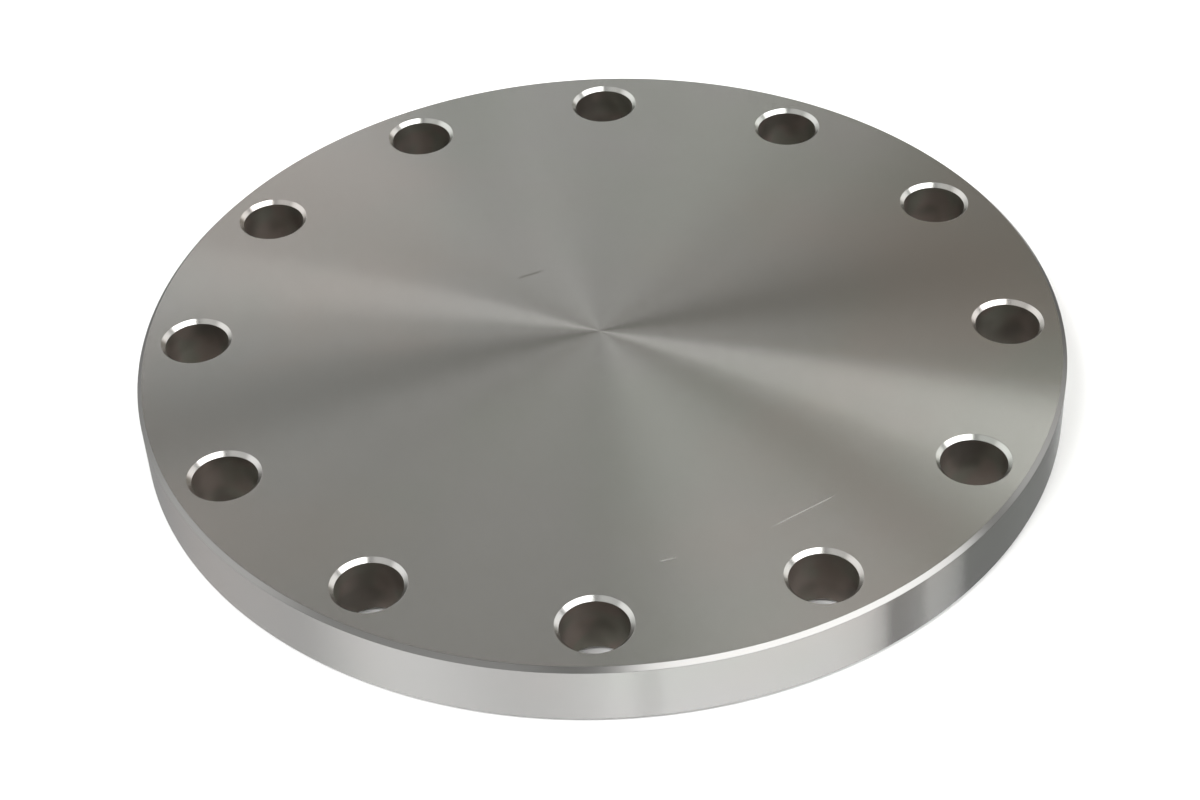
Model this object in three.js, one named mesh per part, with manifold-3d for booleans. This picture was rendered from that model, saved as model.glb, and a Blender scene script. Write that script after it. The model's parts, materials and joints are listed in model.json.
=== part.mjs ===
// Blind flange: the one-piece disc that closes the end of a DN 200, PN 16 pipe flange.
//
// All lengths are in millimetres. The origin is the centre of the back face, +Z is the
// flange's axis and points out of the gasket face, and the first bolt hole lies on +X.

import * as THREE from 'three';
import { mergeVertices, toCreasedNormals } from 'three/addons/utils/BufferGeometryUtils.js';
import Module from 'manifold-3d';

// ---- driving dimensions -------------------------------------------------------------------

const OUTER_DIAMETER = 335;
const THICKNESS = 24;
const RIM_CHAMFER = 1.5; // 45 degrees, on both edges of the rim

const BOLT_CIRCLE_DIAMETER = 295;
const BOLT_HOLE_COUNT = 12;
const BOLT_HOLE_DIAMETER = 23; // clearance for M20 bolts or studs
const HOLE_CHAMFER = 1.5; // 45 degrees, at both mouths of each bolt hole

// A circle is drawn as a polygon whose flats lie within 0.1 mm of the true circle.
const RIM_SEGMENTS = 96;
const HOLE_SEGMENTS = 24;

const CUTTER_OVERRUN = 1; // how far a hole cutter reaches past each face
const SHARP_EDGE_ANGLE = Math.PI / 6; // faces that meet at a larger angle are shaded apart

const TITANIUM_GREY = 0x8d8b85;

// ---- solids -------------------------------------------------------------------------------

const wasm = await Module();
wasm.setup();

// Turns an outline of [radius, height] points, which starts and ends on the axis, about +Z.
function revolve(outline, segments) {
  const points = outline.map(([radius, height]) => new THREE.Vector2(radius, height));
  const geometry = new THREE.LatheGeometry(points, segments);
  geometry.rotateX(Math.PI / 2);
  return geometry;
}

// Makes a closed geometry into a solid that can be cut. A lathe leaves triangles with no
// area where its outline meets the axis, and these are dropped.
function toSolid(geometry) {
  const bare = geometry.clone();
  bare.deleteAttribute('normal');
  bare.deleteAttribute('uv');
  const welded = mergeVertices(bare, 1e-4);
  const corners = welded.index.array;
  const triangles = [];
  for (let i = 0; i < corners.length; i += 3) {
    const [a, b, c] = corners.slice(i, i + 3);
    if (a !== b && b !== c && c !== a) {
      triangles.push(a, b, c);
    }
  }
  const mesh = new wasm.Mesh({
    numProp: 3,
    vertProperties: new Float32Array(welded.attributes.position.array),
    triVerts: new Uint32Array(triangles),
  });
  return new wasm.Manifold(mesh);
}

function toGeometry(solid) {
  const mesh = solid.getMesh();
  const geometry = new THREE.BufferGeometry();
  geometry.setAttribute('position', new THREE.BufferAttribute(mesh.vertProperties, 3));
  geometry.setIndex(new THREE.BufferAttribute(mesh.triVerts, 1));
  return toCreasedNormals(geometry, SHARP_EDGE_ANGLE);
}

// ---- the flange ---------------------------------------------------------------------------

// The turned disc before drilling: two flat faces and a straight rim with chamfered edges.
function turnedDisc() {
  const radius = OUTER_DIAMETER / 2;
  return revolve([
    [0, 0],
    [radius - RIM_CHAMFER, 0],
    [radius, RIM_CHAMFER],
    [radius, THICKNESS - RIM_CHAMFER],
    [radius - RIM_CHAMFER, THICKNESS],
    [0, THICKNESS],
  ], RIM_SEGMENTS);
}

// What one bolt hole removes: a straight bore that opens into a 45 degree cone at each face.
// The cones keep their slope past the faces, so that the faces cut them at the right width.
function holeCutter() {
  const radius = BOLT_HOLE_DIAMETER / 2;
  const flare = HOLE_CHAMFER + CUTTER_OVERRUN;
  return revolve([
    [0, -CUTTER_OVERRUN],
    [radius + flare, -CUTTER_OVERRUN],
    [radius, HOLE_CHAMFER],
    [radius, THICKNESS - HOLE_CHAMFER],
    [radius + flare, THICKNESS + CUTTER_OVERRUN],
    [0, THICKNESS + CUTTER_OVERRUN],
  ], HOLE_SEGMENTS);
}

// Drills the disc on the bolt circle, at equal steps from the hole on +X.
function drilledDisc() {
  const cutter = toSolid(holeCutter());
  let disc = toSolid(turnedDisc());
  for (let hole = 0; hole < BOLT_HOLE_COUNT; hole += 1) {
    const angle = (2 * Math.PI * hole) / BOLT_HOLE_COUNT;
    const x = (BOLT_CIRCLE_DIAMETER / 2) * Math.cos(angle);
    const y = (BOLT_CIRCLE_DIAMETER / 2) * Math.sin(angle);
    disc = disc.subtract(cutter.translate([x, y, 0]));
  }
  return disc;
}

const flangeDisc = new THREE.Mesh(
  toGeometry(drilledDisc()),
  new THREE.MeshStandardMaterial({ color: TITANIUM_GREY, roughness: 0.38, metalness: 1 }),
);
flangeDisc.name = 'flange_disc';

const blindFlange = new THREE.Group();
blindFlange.name = 'blind_flange';
blindFlange.add(flangeDisc);

export default blindFlange;
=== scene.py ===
"""Blind flange: the visual model and its studio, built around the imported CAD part.

The flange is one piece of metal, so one mesh stands for the one CAD node. Everything is in
metres, in the CAD frame: +Z is the flange's axis, z = 0 its back face, and a bolt hole lies on +X.
"""

import json
import math

import bmesh
import bpy
from mathutils import Matrix, Vector


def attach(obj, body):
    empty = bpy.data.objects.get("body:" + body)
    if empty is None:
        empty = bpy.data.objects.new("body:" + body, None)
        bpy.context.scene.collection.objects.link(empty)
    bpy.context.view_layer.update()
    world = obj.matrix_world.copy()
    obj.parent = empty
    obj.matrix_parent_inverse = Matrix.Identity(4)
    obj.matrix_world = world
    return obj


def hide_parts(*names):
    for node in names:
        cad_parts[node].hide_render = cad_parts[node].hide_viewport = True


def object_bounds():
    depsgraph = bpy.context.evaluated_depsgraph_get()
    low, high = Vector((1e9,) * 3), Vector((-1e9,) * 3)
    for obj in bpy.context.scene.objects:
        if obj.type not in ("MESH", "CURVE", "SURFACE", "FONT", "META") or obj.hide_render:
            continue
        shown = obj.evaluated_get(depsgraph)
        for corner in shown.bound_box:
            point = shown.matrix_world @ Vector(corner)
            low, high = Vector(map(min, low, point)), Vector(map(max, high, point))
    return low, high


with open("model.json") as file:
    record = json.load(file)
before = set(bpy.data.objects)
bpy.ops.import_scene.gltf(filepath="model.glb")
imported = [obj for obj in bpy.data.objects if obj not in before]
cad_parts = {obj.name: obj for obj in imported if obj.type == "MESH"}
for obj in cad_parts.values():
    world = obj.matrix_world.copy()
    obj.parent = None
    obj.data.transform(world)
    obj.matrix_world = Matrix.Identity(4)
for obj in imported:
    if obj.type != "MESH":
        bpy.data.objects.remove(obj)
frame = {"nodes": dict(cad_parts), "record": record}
CAD_LOW, CAD_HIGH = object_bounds()

MM = 0.001
TURN = 2 * math.pi

# ---- sizes from the frame ------------------------------------------------------------------

NODE = "flange_disc"
RADIUS = (CAD_HIGH.x - CAD_LOW.x) / 2
BACK = CAD_LOW.z
FRONT = CAD_HIGH.z

# Two places are the same when they agree to this many decimals of a millimetre.
AXIS_DECIMALS = 2
WELD_DECIMALS = 4
# A CAD vertex this near the gasket face's height lies on it.
ON_FACE = 0.1 * MM
# A bolt hole's own vertices lie at least this far inside the flange's outline.
HOLE_TO_OUTLINE = 2 * MM


def hole_centres():
    """The axes of the bolt holes, from the openings that the record states for them."""
    centres = {}
    for opening in frame["record"]["physics"]["openings"]:
        low, high = opening["box_m"]
        centre = ((low[0] + high[0]) / 2, (low[1] + high[1]) / 2)
        centres.setdefault(tuple(round(c / MM, AXIS_DECIMALS) for c in centre), centre)
    return list(centres.values())


def distances_from_axis(centre, reach):
    """How far the CAD vertices within reach of a hole's axis lie from it."""
    points = [vertex.co for vertex in frame["nodes"][NODE].data.vertices]
    away = [math.hypot(p.x - centre[0], p.y - centre[1]) for p in points]
    return [d for d in away if d < reach]


HOLES = hole_centres()
HOLE_COUNT = len(HOLES)
BOLT_CIRCLE = math.hypot(*HOLES[0])
AROUND_HOLE = distances_from_axis(HOLES[0], RADIUS - BOLT_CIRCLE - HOLE_TO_OUTLINE)
BORE_RADIUS = min(AROUND_HOLE)
MOUTH_RADIUS = max(AROUND_HOLE)
RIM_CHAMFER = RADIUS - max(
    math.hypot(v.co.x, v.co.y)
    for v in frame["nodes"][NODE].data.vertices
    if v.co.z > FRONT - ON_FACE
)

# The machined edges are broken to this radius, in this many steps.
EDGE_RADIUS = 0.18 * MM
EDGE_STEPS = 4

# Each bolt hole sits in a twelfth of the disc, which is meshed outwards from the hole. A
# twelfth's edge has ARC_QUADS steps along each arc and SPOKE_QUADS along each straight side.
SPOKE_QUADS = 12
ARC_QUADS = 24
HOLE_STEPS = 2 * (ARC_QUADS + SPOKE_QUADS)
RING_STEPS = HOLE_COUNT * ARC_QUADS
HOLE_RINGS = 7
# The rings round a hole crowd towards it by this power.
RING_CROWDING = 1.35
# The twelfths end inwards at the collar. Rings at these shares of its radius fill the middle.
COLLAR = BOLT_CIRCLE - 20 * MM
CENTRE_RINGS = (0.86, 0.7, 0.52, 0.34, 0.18, 0.07)

# The flat faces end this far short of the edges, whose profiles carry the last bit of flat.
FLAT_MARGIN = 0.4 * MM
FACE_EDGE = RADIUS - RIM_CHAMFER - FLAT_MARGIN
HOLE_COLLAR = MOUTH_RADIUS + FLAT_MARGIN

# How a strip of an edge's profile lies, which picks its material zone. A flat strip's normals rise
# more than FLAT_RISE, and an upright strip's less than UPRIGHT_RISE.
FACE, WALL, CHAMFER = "flat", "upright", "sloping"
FLAT_RISE = 0.99
UPRIGHT_RISE = 0.01


# ---- mesh ----------------------------------------------------------------------------------

# One material slot per machined zone.
ZONES = ("face", "rim", "rim_chamfer", "bore", "countersink")
TOOL_PATH = "tool_path"


class Shell:
    """Collects welded vertices with exact normals, and faces with a material zone each."""

    def __init__(self):
        self.points = []
        self.normals = []
        self.faces = []
        self.zones = []
        self.around = []
        self.index = {}

    def vertex(self, point, normal):
        key = tuple(round(c / MM, WELD_DECIMALS) for c in point)
        if key not in self.index:
            self.index[key] = len(self.points)
            self.points.append(Vector(point))
            self.normals.append(Vector(normal).normalized())
        return self.index[key]

    def face(self, corners, zone):
        """Adds a face of (vertex, uv) corners, turned to the side that its normals point to."""
        corners = [c for i, c in enumerate(corners) if c[0] != corners[i - 1][0]]
        if len(corners) < 3:
            return
        a, b, c = (self.points[vertex] for vertex, _ in corners[:3])
        outward = sum((self.normals[vertex] for vertex, _ in corners), Vector((0, 0, 0)))
        if (b - a).cross(c - b).dot(outward) < 0:
            corners.reverse()
        self.faces.append([vertex for vertex, _ in corners])
        self.around.extend(uv for _, uv in corners)
        self.zones.append(ZONES.index(zone))

    def grid(self, rows, zone):
        """Joins rows of (vertex, uv) pairs with quads."""
        for near, far in zip(rows, rows[1:]):
            for i in range(len(near) - 1):
                self.face([near[i], near[i + 1], far[i + 1], far[i]], zone)

    def build(self, name, materials):
        mesh = bpy.data.meshes.new(name)
        mesh.from_pydata(self.points, [], self.faces)
        for material in materials:
            mesh.materials.append(material)
        mesh.polygons.foreach_set("material_index", self.zones)
        layer = mesh.uv_layers.new(name=TOOL_PATH)
        layer.data.foreach_set("uv", [value for uv in self.around for value in uv])
        mesh.shade_smooth()
        mesh.normals_split_custom_set_from_vertices(self.normals)
        mesh.validate()
        piece = bpy.data.objects.new(name, mesh)
        bpy.context.scene.collection.objects.link(piece)
        return piece


def broken_edges(outline):
    """Rounds the corners of an outline of (radius, height) points to the edge radius.

    Returns (point, normal) pairs, with the normal to the left of the way the outline runs.
    """
    def left(direction):
        return Vector((-direction.y, direction.x))

    points = [Vector(p) for p in outline]
    ways = [(b - a).normalized() for a, b in zip(points, points[1:])]
    profile = [(points[0], left(ways[0]))]
    for corner, before, after in zip(points[1:], ways, ways[1:]):
        turn = before.angle(after)
        setback = EDGE_RADIUS * math.tan(turn / 2)
        side = 1 if before.x * after.y - before.y * after.x > 0 else -1
        start = corner - before * setback
        middle = start + left(before) * side * EDGE_RADIUS
        for step in range(EDGE_STEPS + 1):
            angle = side * turn * step / EDGE_STEPS
            spoke = Matrix.Rotation(angle, 2) @ left(before)
            profile.append((middle - spoke * side * EDGE_RADIUS, spoke))
    profile.append((points[-1], left(ways[-1])))
    return profile


def on_ring(radius, step):
    """A point of a circle about the flange's axis, by its step number."""
    angle = TURN * (step % RING_STEPS) / RING_STEPS
    return radius * math.cos(angle), radius * math.sin(angle)


def planar(vertex, point):
    return vertex, (point[0] / RADIUS, point[1] / RADIUS)


def face_vertex(shell, x, y, side):
    """A vertex of one of the two flat faces. side is 1 for the gasket face and -1 for the back."""
    height = FRONT if side > 0 else BACK
    return planar(shell.vertex((x, y, height), (0, 0, side)), (x, y))


def zone_between(first, second):
    """The material zone of a strip, from how steeply its two edges' normals rise."""
    rise = min(abs(first.y), abs(second.y))
    if rise > FLAT_RISE:
        return FACE
    return WALL if max(abs(first.y), abs(second.y)) < UPRIGHT_RISE else CHAMFER


def add_swept_profile(shell, outline, place, steps, zones):
    """Sweeps an outline round an axis. place(radius, step) gives the point and its spoke."""
    profile = broken_edges(outline)
    travel = 0
    rows = []
    for i, (point, normal) in enumerate(profile):
        if i:
            travel += (point - profile[i - 1][0]).length
        row = []
        for step in range(steps + 1):
            (x, y), spoke = place(point.x, step % steps)
            across = Vector((spoke[0] * normal.x, spoke[1] * normal.x, normal.y))
            vertex = shell.vertex((x, y, point.y), across)
            row.append((vertex, (step / steps, travel / RADIUS)))
        rows.append(row)
    for i, (near, far) in enumerate(zip(rows, rows[1:])):
        shell.grid([near, far], zones[zone_between(profile[i][1], profile[i + 1][1])])


def add_rim(shell):
    def place(radius, step):
        point = on_ring(radius, step)
        return point, (point[0] / radius, point[1] / radius)

    flat = RADIUS - RIM_CHAMFER
    outline = [(FACE_EDGE, FRONT), (flat, FRONT), (RADIUS, FRONT - RIM_CHAMFER)]
    outline += [(RADIUS, BACK + RIM_CHAMFER), (flat, BACK), (FACE_EDGE, BACK)]
    zones = {FACE: "face", WALL: "rim", CHAMFER: "rim_chamfer"}
    add_swept_profile(shell, outline, place, RING_STEPS, zones)


def hole_point(centre, radius, step):
    """A point round a bolt hole, counted from the outward corner of the hole's twelfth."""
    outward = math.atan2(centre[1], centre[0])
    angle = outward + TURN * (step - ARC_QUADS / 2) / HOLE_STEPS
    spoke = (math.cos(angle), math.sin(angle))
    return (centre[0] + radius * spoke[0], centre[1] + radius * spoke[1]), spoke


def add_bolt_hole(shell, centre):
    def place(radius, step):
        return hole_point(centre, radius, step)

    depth = MOUTH_RADIUS - BORE_RADIUS
    outline = [(HOLE_COLLAR, BACK), (MOUTH_RADIUS, BACK), (BORE_RADIUS, BACK + depth)]
    outline += [(BORE_RADIUS, FRONT - depth), (MOUTH_RADIUS, FRONT), (HOLE_COLLAR, FRONT)]
    zones = {FACE: "face", WALL: "bore", CHAMFER: "countersink"}
    add_swept_profile(shell, outline, place, HOLE_STEPS, zones)


def outer_step(centre):
    """The ring step at which a hole's twelfth of the disc begins."""
    middle = round(math.atan2(centre[1], centre[0]) / TURN * RING_STEPS)
    return middle - ARC_QUADS // 2


def around_twelfth(centre):
    """The edge of a hole's twelfth of the face: out along the rim and back along the collar."""
    start = outer_step(centre)
    end = start + ARC_QUADS
    spokes = [FACE_EDGE + (COLLAR - FACE_EDGE) * i / SPOKE_QUADS for i in range(SPOKE_QUADS)]
    inward = [on_ring(radius, end) for radius in spokes]
    outward = [on_ring(COLLAR + FACE_EDGE - radius, start) for radius in spokes]
    rim = [on_ring(FACE_EDGE, start + i) for i in range(ARC_QUADS)]
    collar = [on_ring(COLLAR, end - i) for i in range(ARC_QUADS)]
    return rim + inward + collar + outward


def add_face(shell, side):
    """One flat face: a fan of rings round every hole, and rings from the collar to the axis."""
    for centre in HOLES:
        edge = around_twelfth(centre)
        rows = []
        for ring in range(HOLE_RINGS + 1):
            share = (ring / HOLE_RINGS) ** RING_CROWDING
            row = []
            for step in range(HOLE_STEPS + 1):
                (x, y), _ = hole_point(centre, HOLE_COLLAR, step % HOLE_STEPS)
                far = edge[step % HOLE_STEPS]
                if ring == HOLE_RINGS:
                    x, y = far
                elif ring:
                    x, y = x + (far[0] - x) * share, y + (far[1] - y) * share
                row.append(face_vertex(shell, x, y, side))
            rows.append(row)
        shell.grid(rows, "face")
    radii = [COLLAR] + [COLLAR * share for share in CENTRE_RINGS] + [0]
    steps = range(RING_STEPS + 1)
    rows = [[face_vertex(shell, *on_ring(r, step), side) for step in steps] for r in radii]
    shell.grid(rows, "face")


# ---- materials -----------------------------------------------------------------------------

# Where the Mix node keeps its colour sockets.
COLOUR_MIX_INPUTS = (0, 6, 7)
COLOUR_MIX_OUTPUT = 2


class Graph:
    """A node tree, with short calls for the nodes that the materials share."""

    def __init__(self, tree):
        self.tree = tree
        tree.nodes.clear()

    def node(self, kind, inputs=(), **settings):
        made = self.tree.nodes.new("ShaderNode" + kind)
        for name, value in settings.items():
            setattr(made, name, value)
        for socket, value in dict(inputs).items():
            self.feed(made.inputs[socket], value)
        return made

    def feed(self, socket, value):
        if isinstance(value, bpy.types.NodeSocket):
            self.tree.links.new(value, socket)
        else:
            socket.default_value = value

    def math(self, operation, *values):
        return self.node("Math", enumerate(values), operation=operation).outputs[0]

    def vector(self, operation, *values, output=0):
        made = self.node("VectorMath", enumerate(values), operation=operation)
        return made.outputs[output]

    def combine(self, x, y, z=0.0):
        return self.node("CombineXYZ", enumerate((x, y, z))).outputs[0]

    def noise(self, vector, scale, detail=2.0, roughness=0.5):
        inputs = {"Vector": vector, "Scale": scale, "Detail": detail, "Roughness": roughness}
        return self.node("TexNoise", inputs.items()).outputs["Fac"]

    def ramp(self, value, low, high, low_out=0.0, high_out=1.0):
        """Maps low..high smoothly to low_out..high_out, held at both ends."""
        inputs = enumerate((value, low, high, low_out, high_out))
        return self.node("MapRange", inputs, interpolation_type="SMOOTHSTEP").outputs[0]

    def blend(self, share, first, second):
        """Mixes two colours."""
        made = self.node("Mix", data_type="RGBA")
        for socket, value in zip(COLOUR_MIX_INPUTS, (share, first, second)):
            self.feed(made.inputs[socket], value)
        return made.outputs[COLOUR_MIX_OUTPUT]

    def position(self):
        """The point being shaded, as x, y and z in metres."""
        point = self.node("TexCoord").outputs["Object"]
        parts = self.node("SeparateXYZ", [(0, point)]).outputs
        return point, parts[0], parts[1], parts[2]


# The turning grooves, and how steep their flanks typically are. The steepest few in a hundred of
# the flanks are left out.
GROOVE_WIDTH = 0.02 * MM
FACE_GROOVE_SLOPE = 0.18
RIM_GROOVE_SLOPE = 0.20
STEEPEST_SHARE = 0.97

# Each finish's roughness, and how far it draws highlights out. The shader draws them out along the
# tool's path unless they are turned, so they are given a quarter turn, to lie across it.
FACE_FINISH = {"Roughness": 0.15, "Anisotropic": 1.0}
RIM_FINISH = {"Roughness": 0.17, "Anisotropic": 1.0}
RIM_EDGE_FINISH = {"Roughness": 0.28, "Anisotropic": 0.6}
BORE_FINISH = {"Roughness": 0.5, "Anisotropic": 0.3}
CONE_FINISH = {"Roughness": 0.26, "Anisotropic": 0.55}
QUARTER_TURN = 0.25

# Titanium's reflectance, and the tints that a handled, turned surface shows over it.
TITANIUM = (0.51, 0.505, 0.492, 1)
OLIVE = (0.495, 0.505, 0.475, 1)
BROWN = (0.53, 0.50, 0.475, 1)
# The rim's chamfers: painted shade, a copy of the titanium at about half its brightness, which dims
# what they mirror.
SHADED_CHAMFER_TITANIUM = (0.26, 0.257, 0.25, 1)
# The bores, in painted shade: colours darker than the titanium, for the shade in the recesses, in
# random brown, olive and darker patches.
SHADED_BORE_BROWN = (0.31, 0.265, 0.235, 1)
SHADED_BORE_OLIVE = (0.28, 0.275, 0.235, 1)
SHADED_BORE_DARK = (0.19, 0.17, 0.15, 1)

# The noise that lays out each tint's patches, and its values where a patch begins and is full.
OLIVE_PATCHES = dict(offset=(0, 0, 0), scale=9.0, detail=3.0, start=0.42, full=0.66)
BROWN_PATCHES = dict(offset=(3.1, 1.7, 0), scale=7.0, detail=3.0, start=0.45, full=0.7)
BORE_OLIVE_PATCHES = dict(offset=(0, 0, 0), scale=80.0, detail=1.0, start=0.4, full=0.6)
BORE_DARK_PATCHES = dict(offset=(0.7, 2.3, 0), scale=70.0, detail=1.0, start=0.4, full=0.7)


def patches(graph, point, offset, scale, detail, start, full):
    """Soft-edged patches: 0 outside them and 1 well inside."""
    moved = graph.vector("ADD", point, offset)
    return graph.ramp(graph.noise(moved, scale, detail), start, full)


def titanium_tint(graph, point):
    """Titanium with wide, faint patches of olive and brown."""
    olive = patches(graph, point, **OLIVE_PATCHES)
    brown = patches(graph, point, **BROWN_PATCHES)
    return graph.blend(brown, graph.blend(olive, TITANIUM, OLIVE), BROWN)


def machined(name, build):
    """A metal whose tool marks run round an axis. build(graph) returns the shader's inputs."""
    material = bpy.data.materials.new(name)
    material.use_nodes = True
    graph = Graph(material.node_tree)
    inputs = {"Metallic": 1.0, "Anisotropic Rotation": QUARTER_TURN}
    inputs.update(build(graph))
    shader = graph.node("BsdfPrincipled", inputs.items())
    graph.node("OutputMaterial", [("Surface", shader.outputs[0])])
    return material


def round_the_flange(graph):
    """The tool's path on the faces and the rim."""
    return graph.node("Tangent", direction_type="RADIAL", axis="Z").outputs[0]


def round_the_hole(graph):
    return graph.node("Tangent", direction_type="UV_MAP", uv_map=TOOL_PATH).outputs[0]


def grooved(graph, place, across, steepness):
    """The normal of one flank of a turning groove, picked at random from groove to groove.

    place is the distance from groove to groove, and across points over them. The grooves are far
    too fine to be told apart. Their slopes follow GGX's spread of slopes, so that together they blur
    reflections across the grooves and leave them sharp along the grooves.
    """
    groove = graph.math("MULTIPLY", place, 1 / GROOVE_WIDTH)
    share = graph.node("TexWhiteNoise", [("W", groove)], noise_dimensions="1D").outputs["Value"]
    spread = graph.math("MULTIPLY_ADD", share, 2 * STEEPEST_SHARE, -STEEPEST_SHARE)
    flat = graph.math("SQRT", graph.math("SUBTRACT", 1.0, graph.math("MULTIPLY", spread, spread)))
    slope = graph.math("DIVIDE", graph.math("MULTIPLY", spread, steepness), flat)
    tilt = graph.vector("MULTIPLY", across, graph.combine(slope, slope, slope))
    upright = graph.node("NewGeometry").outputs["Normal"]
    return graph.vector("NORMALIZE", graph.vector("ADD", upright, tilt))


# Handling marks on the gasket face, in millimetres: where each starts and ends, and its width. A
# mark is solid out to MARK_CORE of its width from its middle line and gone at MARK_EDGE, and it
# fades in and out over MARK_FADE of its length.
SCRATCHES = (((56, -106), (83, -88), 0.6), ((20, -120), (27, -118), 0.6))
SMUDGE = ((-32, 32), (-21, 37), 1.6)
SCRATCHED_TITANIUM = (0.68, 0.67, 0.65, 1)
SMUDGED_TITANIUM = (0.38, 0.37, 0.35, 1)
# How much rougher a scratch is than the face.
ADDED_ROUGHNESS = 0.2
MARK_CORE = 0.1
MARK_EDGE = 0.5
MARK_FADE = 0.3


def mark(graph, x, y, start, end, width):
    """How much a straight mark covers a point of the face. It fades out at both ends."""
    (x0, y0), (x1, y1) = (Vector(corner) * MM for corner in (start, end))
    length = math.hypot(x1 - x0, y1 - y0)
    way = ((x1 - x0) / length, (y1 - y0) / length, 0)
    side = (-way[1], way[0], 0)
    arm = graph.vector("SUBTRACT", graph.combine(x, y), (x0, y0, 0))
    along = graph.vector("DOT_PRODUCT", arm, way, output=1)
    across = graph.math("ABSOLUTE", graph.vector("DOT_PRODUCT", arm, side, output=1))
    covered = graph.ramp(across, MARK_CORE * width * MM, MARK_EDGE * width * MM, 1.0, 0.0)
    fade = MARK_FADE * length
    fade_in = graph.ramp(along, 0.0, fade)
    fade_out = graph.ramp(along, length - fade, length, 1.0, 0.0)
    return graph.math("MULTIPLY", covered, graph.math("MULTIPLY", fade_in, fade_out))


def faced(graph):
    """The flat faces: fine rings left by the facing tool, and marks on the gasket face."""
    point, x, y, z = graph.position()
    arm = graph.combine(x, y)
    radius = graph.vector("LENGTH", arm, output=1)
    upper = graph.math("GREATER_THAN", z, (BACK + FRONT) / 2)
    colour = titanium_tint(graph, point)
    roughness = FACE_FINISH["Roughness"]
    for scratch in SCRATCHES:
        share = graph.math("MULTIPLY", mark(graph, x, y, *scratch), upper)
        colour = graph.blend(share, colour, SCRATCHED_TITANIUM)
        roughness = graph.math("MULTIPLY_ADD", share, ADDED_ROUGHNESS, roughness)
    smudge = graph.math("MULTIPLY", mark(graph, x, y, *SMUDGE), upper)
    colour = graph.blend(smudge, colour, SMUDGED_TITANIUM)
    return {
        **FACE_FINISH,
        "Base Color": colour,
        "Roughness": roughness,
        "Tangent": round_the_flange(graph),
        "Normal": grooved(graph, radius, graph.vector("NORMALIZE", arm), FACE_GROOVE_SLOPE),
    }


def turned(graph):
    """The rim, turned with a slightly coarser feed than the faces."""
    point, _, _, z = graph.position()
    return {
        **RIM_FINISH,
        "Base Color": titanium_tint(graph, point),
        "Tangent": round_the_flange(graph),
        "Normal": grooved(graph, z, graph.combine(0.0, 0.0, 1.0), RIM_GROOVE_SLOPE),
    }


def rim_edge(graph):
    """The rim's chamfers: rougher than the rest, and in painted shade, a darker copy of the titanium.
    """
    return {
        **RIM_EDGE_FINISH,
        # Painted shade: the chamfers' colour is darkened titanium.
        "Base Color": SHADED_CHAMFER_TITANIUM,
        "Tangent": round_the_flange(graph),
    }


# The rings that the drill leaves along a bore, and how far they waver as they go round.
DRILL_RINGS = dict(scale=1800.0, detail=3.0, roughness=0.7)
DRILL_RING_DEPTH = 0.03 * MM
DRILL_RING_STRENGTH = 0.5
WAVER = 2 * MM
WAVER_SCALE = 120.0


def drilled(graph):
    """The bores: a drill's rough rings, in painted shade, colours darker than the faces in random
    patches.
    """
    point, _, _, z = graph.position()
    waver = graph.math("MULTIPLY", graph.noise(point, WAVER_SCALE), WAVER)
    along = graph.combine(graph.math("ADD", z, waver), 0.0)
    rings = graph.noise(along, **DRILL_RINGS)
    bump = graph.node("Bump", {
        "Strength": DRILL_RING_STRENGTH,
        "Distance": DRILL_RING_DEPTH,
        "Height": rings,
    })
    olive = patches(graph, point, **BORE_OLIVE_PATCHES)
    dark_patches = patches(graph, point, **BORE_DARK_PATCHES)
    return {
        **BORE_FINISH,
        # Painted shade: the bores' colours are darker than the titanium of the faces.
        "Base Color": graph.blend(dark_patches, graph.blend(olive, SHADED_BORE_BROWN, SHADED_BORE_OLIVE), SHADED_BORE_DARK),
        "Tangent": round_the_hole(graph),
        "Normal": bump.outputs[0],
    }


def countersunk(graph):
    """The bright cone that breaks each hole's edge."""
    return {
        **CONE_FINISH,
        "Base Color": titanium_tint(graph, graph.position()[0]),
        "Tangent": round_the_hole(graph),
    }


# ---- the flange ----------------------------------------------------------------------------

def make_flange():
    shell = Shell()
    add_rim(shell)
    for centre in HOLES:
        add_bolt_hole(shell, centre)
    for side in (1, -1):
        add_face(shell, side)
    finishes = {
        "face": faced, "rim": turned, "rim_chamfer": rim_edge,
        "bore": drilled, "countersink": countersunk,
    }
    materials = [machined(zone, finishes[zone]) for zone in ZONES]
    flange = shell.build("flange_disc_finished", materials)
    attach(flange, "root")
    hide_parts(NODE)
    return flange


# ---- studio --------------------------------------------------------------------------------

# The camera looks down at the disc through a long lens, and is rolled a little.
CAMERA_AZIMUTH = math.radians(2.5)
CAMERA_ELEVATION = math.radians(39)
CAMERA_DISTANCE = 5.28 * RADIUS
AIM_IN_FRONT = 0.23 * RADIUS
AIM_TO_THE_RIGHT = 0.003 * RADIUS
CAMERA_ROLL = math.radians(-3)
LENS = 73


def make_camera():
    centre = Vector((0, 0, FRONT))
    level = Vector((math.sin(CAMERA_AZIMUTH), -math.cos(CAMERA_AZIMUTH), 0))
    place = level * math.cos(CAMERA_ELEVATION) + Vector((0, 0, math.sin(CAMERA_ELEVATION)))
    data = bpy.data.cameras.new("camera")
    data.lens = LENS
    camera = bpy.data.objects.new("camera", data)
    bpy.context.scene.collection.objects.link(camera)
    camera.location = centre + place * CAMERA_DISTANCE
    aim = centre + Vector((AIM_TO_THE_RIGHT, -AIM_IN_FRONT, 0))
    look = (aim - camera.location).to_track_quat("-Z", "Y")
    camera.rotation_mode = "QUATERNION"
    camera.rotation_quaternion = look @ Matrix.Rotation(CAMERA_ROLL, 3, "Z").to_quaternion()
    bpy.context.scene.camera = camera
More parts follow.
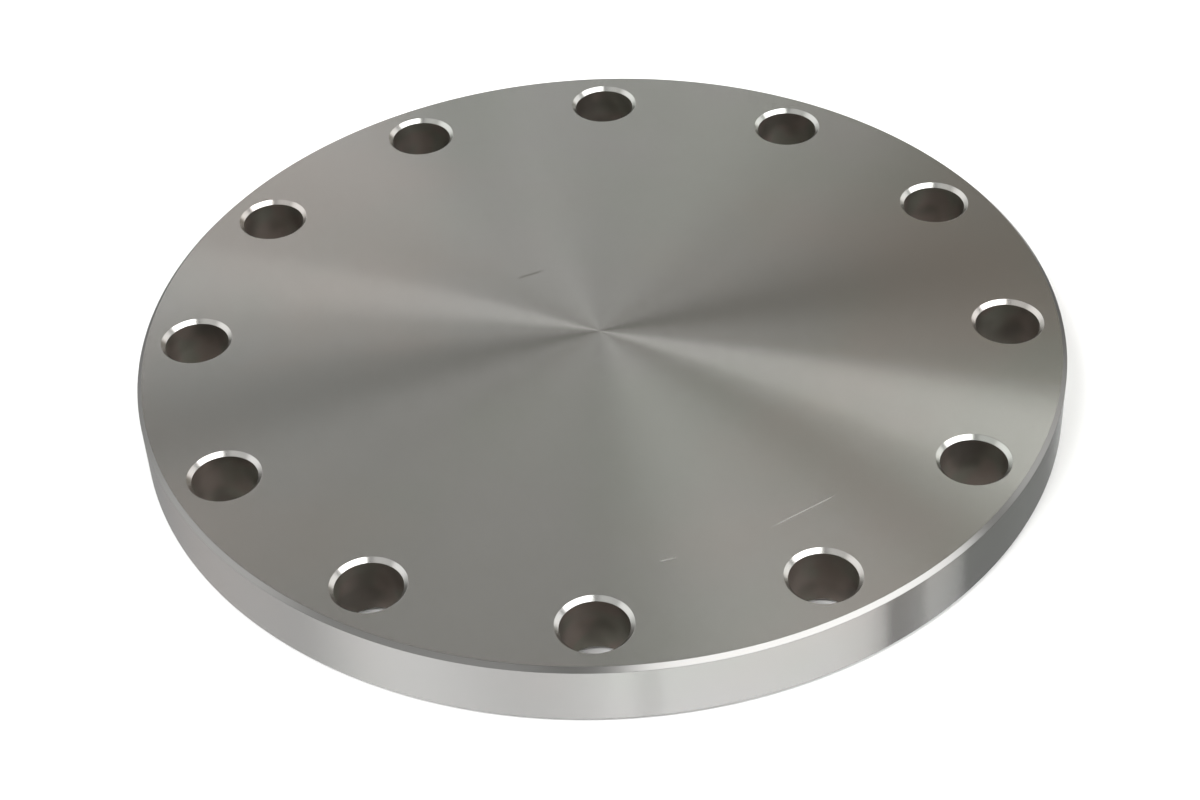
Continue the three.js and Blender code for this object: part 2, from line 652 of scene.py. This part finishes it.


# The lamps that the metal mirrors, placed over an even ROOM. Angles are in degrees. A bearing
# is counted from the camera's side of the flange, anticlockwise from above. lean is how far a
# lamp's level edges climb for each degree of bearing, and slant how far its upright edges turn for
# each degree of elevation. The rim and its chamfers mirror lamps at about twice the bearing that
# they face. A lamp near the mirror direction, bearing 180 and elevation 39, makes a pair of wedges
# on the gasket face.
ROOM = (0.216, 0.218, 0.208)
WARM = (1.4, 1.0, 0.55)
LAMPS = {
    "window behind": dict(bearing=-161, elevation=9, width=58, height=20, soft=8, strength=0.75),
    "upper pane, left": dict(bearing=-160, elevation=28, width=28, height=18, soft=5, strength=0.7),
    "upper pane, middle": dict(bearing=176, elevation=29, width=16, height=12, soft=4, strength=0.7),
    "strip lamp": dict(bearing=150, elevation=43, width=24, height=8, soft=1, strength=1.4, lean=0.1),
    "ceiling lamp": dict(bearing=150, elevation=66, width=40, height=16, soft=12, strength=0.8),
    "warm ceiling": dict(
        bearing=180, elevation=68, width=240, height=44, soft=20, strength=0.04, tint=WARM),
    "warm wall": dict(
        bearing=145, elevation=28, width=50, height=50, soft=25, strength=0.07, tint=WARM),
    "key": dict(bearing=45, elevation=44, width=84, height=30, soft=6, strength=5.0, lean=-0.2),
    "wall, left": dict(bearing=-105, elevation=25, width=60, height=40, soft=15, strength=1.3),
    "wall, front": dict(bearing=-45, elevation=45, width=60, height=40, soft=20, strength=0.7),
    "wall, right": dict(bearing=115, elevation=18, width=36, height=36, soft=10, strength=1.3),
}
# What the metal mirrors below the horizon, in place of the floor.
TABLE = (0.3, 0.3, 0.3)
TABLE_PATCHES = {
    "left": dict(bearing=-90, elevation=-40, width=90, height=100, soft=40, strength=0.38),
    "front, left": dict(bearing=-31, elevation=-40, width=74, height=100, soft=12, strength=0.66),
    "front": dict(
        bearing=35, elevation=-40, width=67, height=100, soft=3, strength=0.95, slant=-0.55),
    "front, right": dict(
        bearing=87, elevation=-40, width=13, height=100, soft=2, strength=0.5, slant=-0.8),
    "far right": dict(bearing=170, elevation=-40, width=32, height=100, soft=8, strength=0.9),
}
# What the camera sees past the floor.
BACKDROP = (1, 1, 1, 1)
HORIZON_SOFTNESS = math.radians(1)
# How finely the renderer maps the world's brightness, to find the small lamps.
LIGHT_MAP_SIZE = 1024


def lamp_light(graph, azimuth, elevation, lamps, base):
    """The light of a set of soft-edged lamps, added up over an even base."""
    camera_side = CAMERA_AZIMUTH - math.pi / 2
    light = base
    for lamp in lamps.values():
        soft = math.radians(lamp["soft"])
        level = math.radians(lamp["elevation"])
        slant = lamp.get("slant", 0.0)
        middle = camera_side + math.radians(lamp["bearing"]) - slant * level
        side = graph.math("MULTIPLY_ADD", elevation, slant, middle)
        across = graph.math("WRAP", graph.math("SUBTRACT", azimuth, side), math.pi, -math.pi)
        height = graph.math("MULTIPLY_ADD", across, lamp.get("lean", 0.0), level)
        along = graph.math("SUBTRACT", elevation, height)
        inside = 1.0
        for off, size in ((across, lamp["width"]), (along, lamp["height"])):
            edge = math.radians(size) / 2
            distance = graph.math("ABSOLUTE", off)
            share = graph.ramp(distance, edge - soft / 2, edge + soft / 2, 1.0, 0.0)
            inside = graph.math("MULTIPLY", inside, share)
        colour = tuple(lamp["strength"] * share for share in lamp.get("tint", (1.0, 1.0, 1.0)))
        light = graph.vector("MULTIPLY_ADD", inside, colour, light)
    return light


def make_world():
    """Lamps all round for the metal, and a plain pale backdrop for the camera."""
    world = bpy.data.worlds.new("studio")
    bpy.context.scene.world = world
    world.use_nodes = True
    graph = Graph(world.node_tree)
    toward = graph.node("TexCoord").outputs["Generated"]
    parts = graph.node("SeparateXYZ", [(0, toward)]).outputs
    azimuth = graph.math("ARCTAN2", parts[1], parts[0])
    elevation = graph.math("ARCSINE", parts[2])
    above = lamp_light(graph, azimuth, elevation, LAMPS, ROOM)
    below = lamp_light(graph, azimuth, elevation, TABLE_PATCHES, TABLE)
    risen = graph.ramp(elevation, -HORIZON_SOFTNESS, HORIZON_SOFTNESS)
    light = graph.blend(risen, below, above)
    lit = graph.node("Background", [("Color", light)])
    plain = graph.node("Background", [("Color", BACKDROP)])
    seen = graph.node("LightPath").outputs["Is Camera Ray"]
    shown = graph.node("MixShader", [(0, seen), (1, lit.outputs[0]), (2, plain.outputs[0])])
    graph.node("OutputWorld", [("Surface", shown.outputs[0])])
    world.cycles.sampling_method = "MANUAL"
    world.cycles.sample_map_resolution = LIGHT_MAP_SIZE


FLOOR_PAINT = (0.86, 0.86, 0.86, 1)
FLOOR_SIZE = 30 * RADIUS
# How far the floor and the spots under the bolt holes lie below the flange.
FLOOR_DEPTH = 0.04 * MM
SPOT_DEPTH = 0.02 * MM
SPOT_RADIUS = MOUTH_RADIUS + MM
SPOT_STEPS = 32


def floor_paint():
    """Plain pale paint on the upper side, and clear from below, so that the back can be seen."""
    material = bpy.data.materials.new("floor")
    material.use_nodes = True
    graph = Graph(material.node_tree)
    paint = graph.node("BsdfDiffuse", [("Color", FLOOR_PAINT)])
    clear = graph.node("BsdfTransparent")
    under = graph.node("NewGeometry").outputs["Backfacing"]
    shown = graph.node("MixShader", [(0, under), (1, paint.outputs[0]), (2, clear.outputs[0])])
    graph.node("OutputMaterial", [("Surface", shown.outputs[0])])
    return material


def stage_piece(name, shape, material, depth):
    """Adds a flat piece of floor, made by shape(mesh), at a depth below the flange."""
    mesh = bpy.data.meshes.new(name)
    outline = bmesh.new()
    shape(outline)
    bmesh.ops.translate(outline, verts=outline.verts, vec=(0, 0, BACK - depth))
    outline.to_mesh(mesh)
    outline.free()
    mesh.materials.append(material)
    piece = bpy.data.objects.new(name, mesh)
    bpy.context.scene.collection.objects.link(piece)
    return piece


def make_floor():
    """A plain pale floor, which the metal doesn't mirror, and spots of it that the metal does.

    The spots lie under the bolt holes, and keep the light below the horizon out of the bores.
    """
    def plane(outline):
        bmesh.ops.create_grid(outline, x_segments=1, y_segments=1, size=FLOOR_SIZE)

    def spots(outline):
        for x, y in HOLES:
            middle = Matrix.Translation((x, y, 0))
            bmesh.ops.create_circle(
                outline, cap_ends=True, segments=SPOT_STEPS, radius=SPOT_RADIUS, matrix=middle)

    material = floor_paint()
    floor = stage_piece("floor", plane, material, FLOOR_DEPTH)
    floor.visible_glossy = False
    floor.visible_shadow = False
    stage_piece("floor_under_holes", spots, material, SPOT_DEPTH)


FLOOR_LIGHT_STRENGTH = 2.6
FLOOR_LIGHT_SPREAD = math.radians(30)
FLOOR_LIGHT_FROM = Vector((-0.55, -0.45, 0.9))


def make_floor_light():
    """Lights the floor only, so that it stays pale without flooding the metal."""
    data = bpy.data.lights.new("floor_light", "SUN")
    data.energy = FLOOR_LIGHT_STRENGTH
    data.angle = FLOOR_LIGHT_SPREAD
    light = bpy.data.objects.new("floor_light", data)
    bpy.context.scene.collection.objects.link(light)
    light.rotation_mode = "QUATERNION"
    light.rotation_quaternion = FLOOR_LIGHT_FROM.to_track_quat("Z", "Y")
    light.visible_glossy = False


make_camera()
make_flange()
make_floor()
make_world()
make_floor_light()
bpy.context.scene.view_settings.view_transform = "Standard"
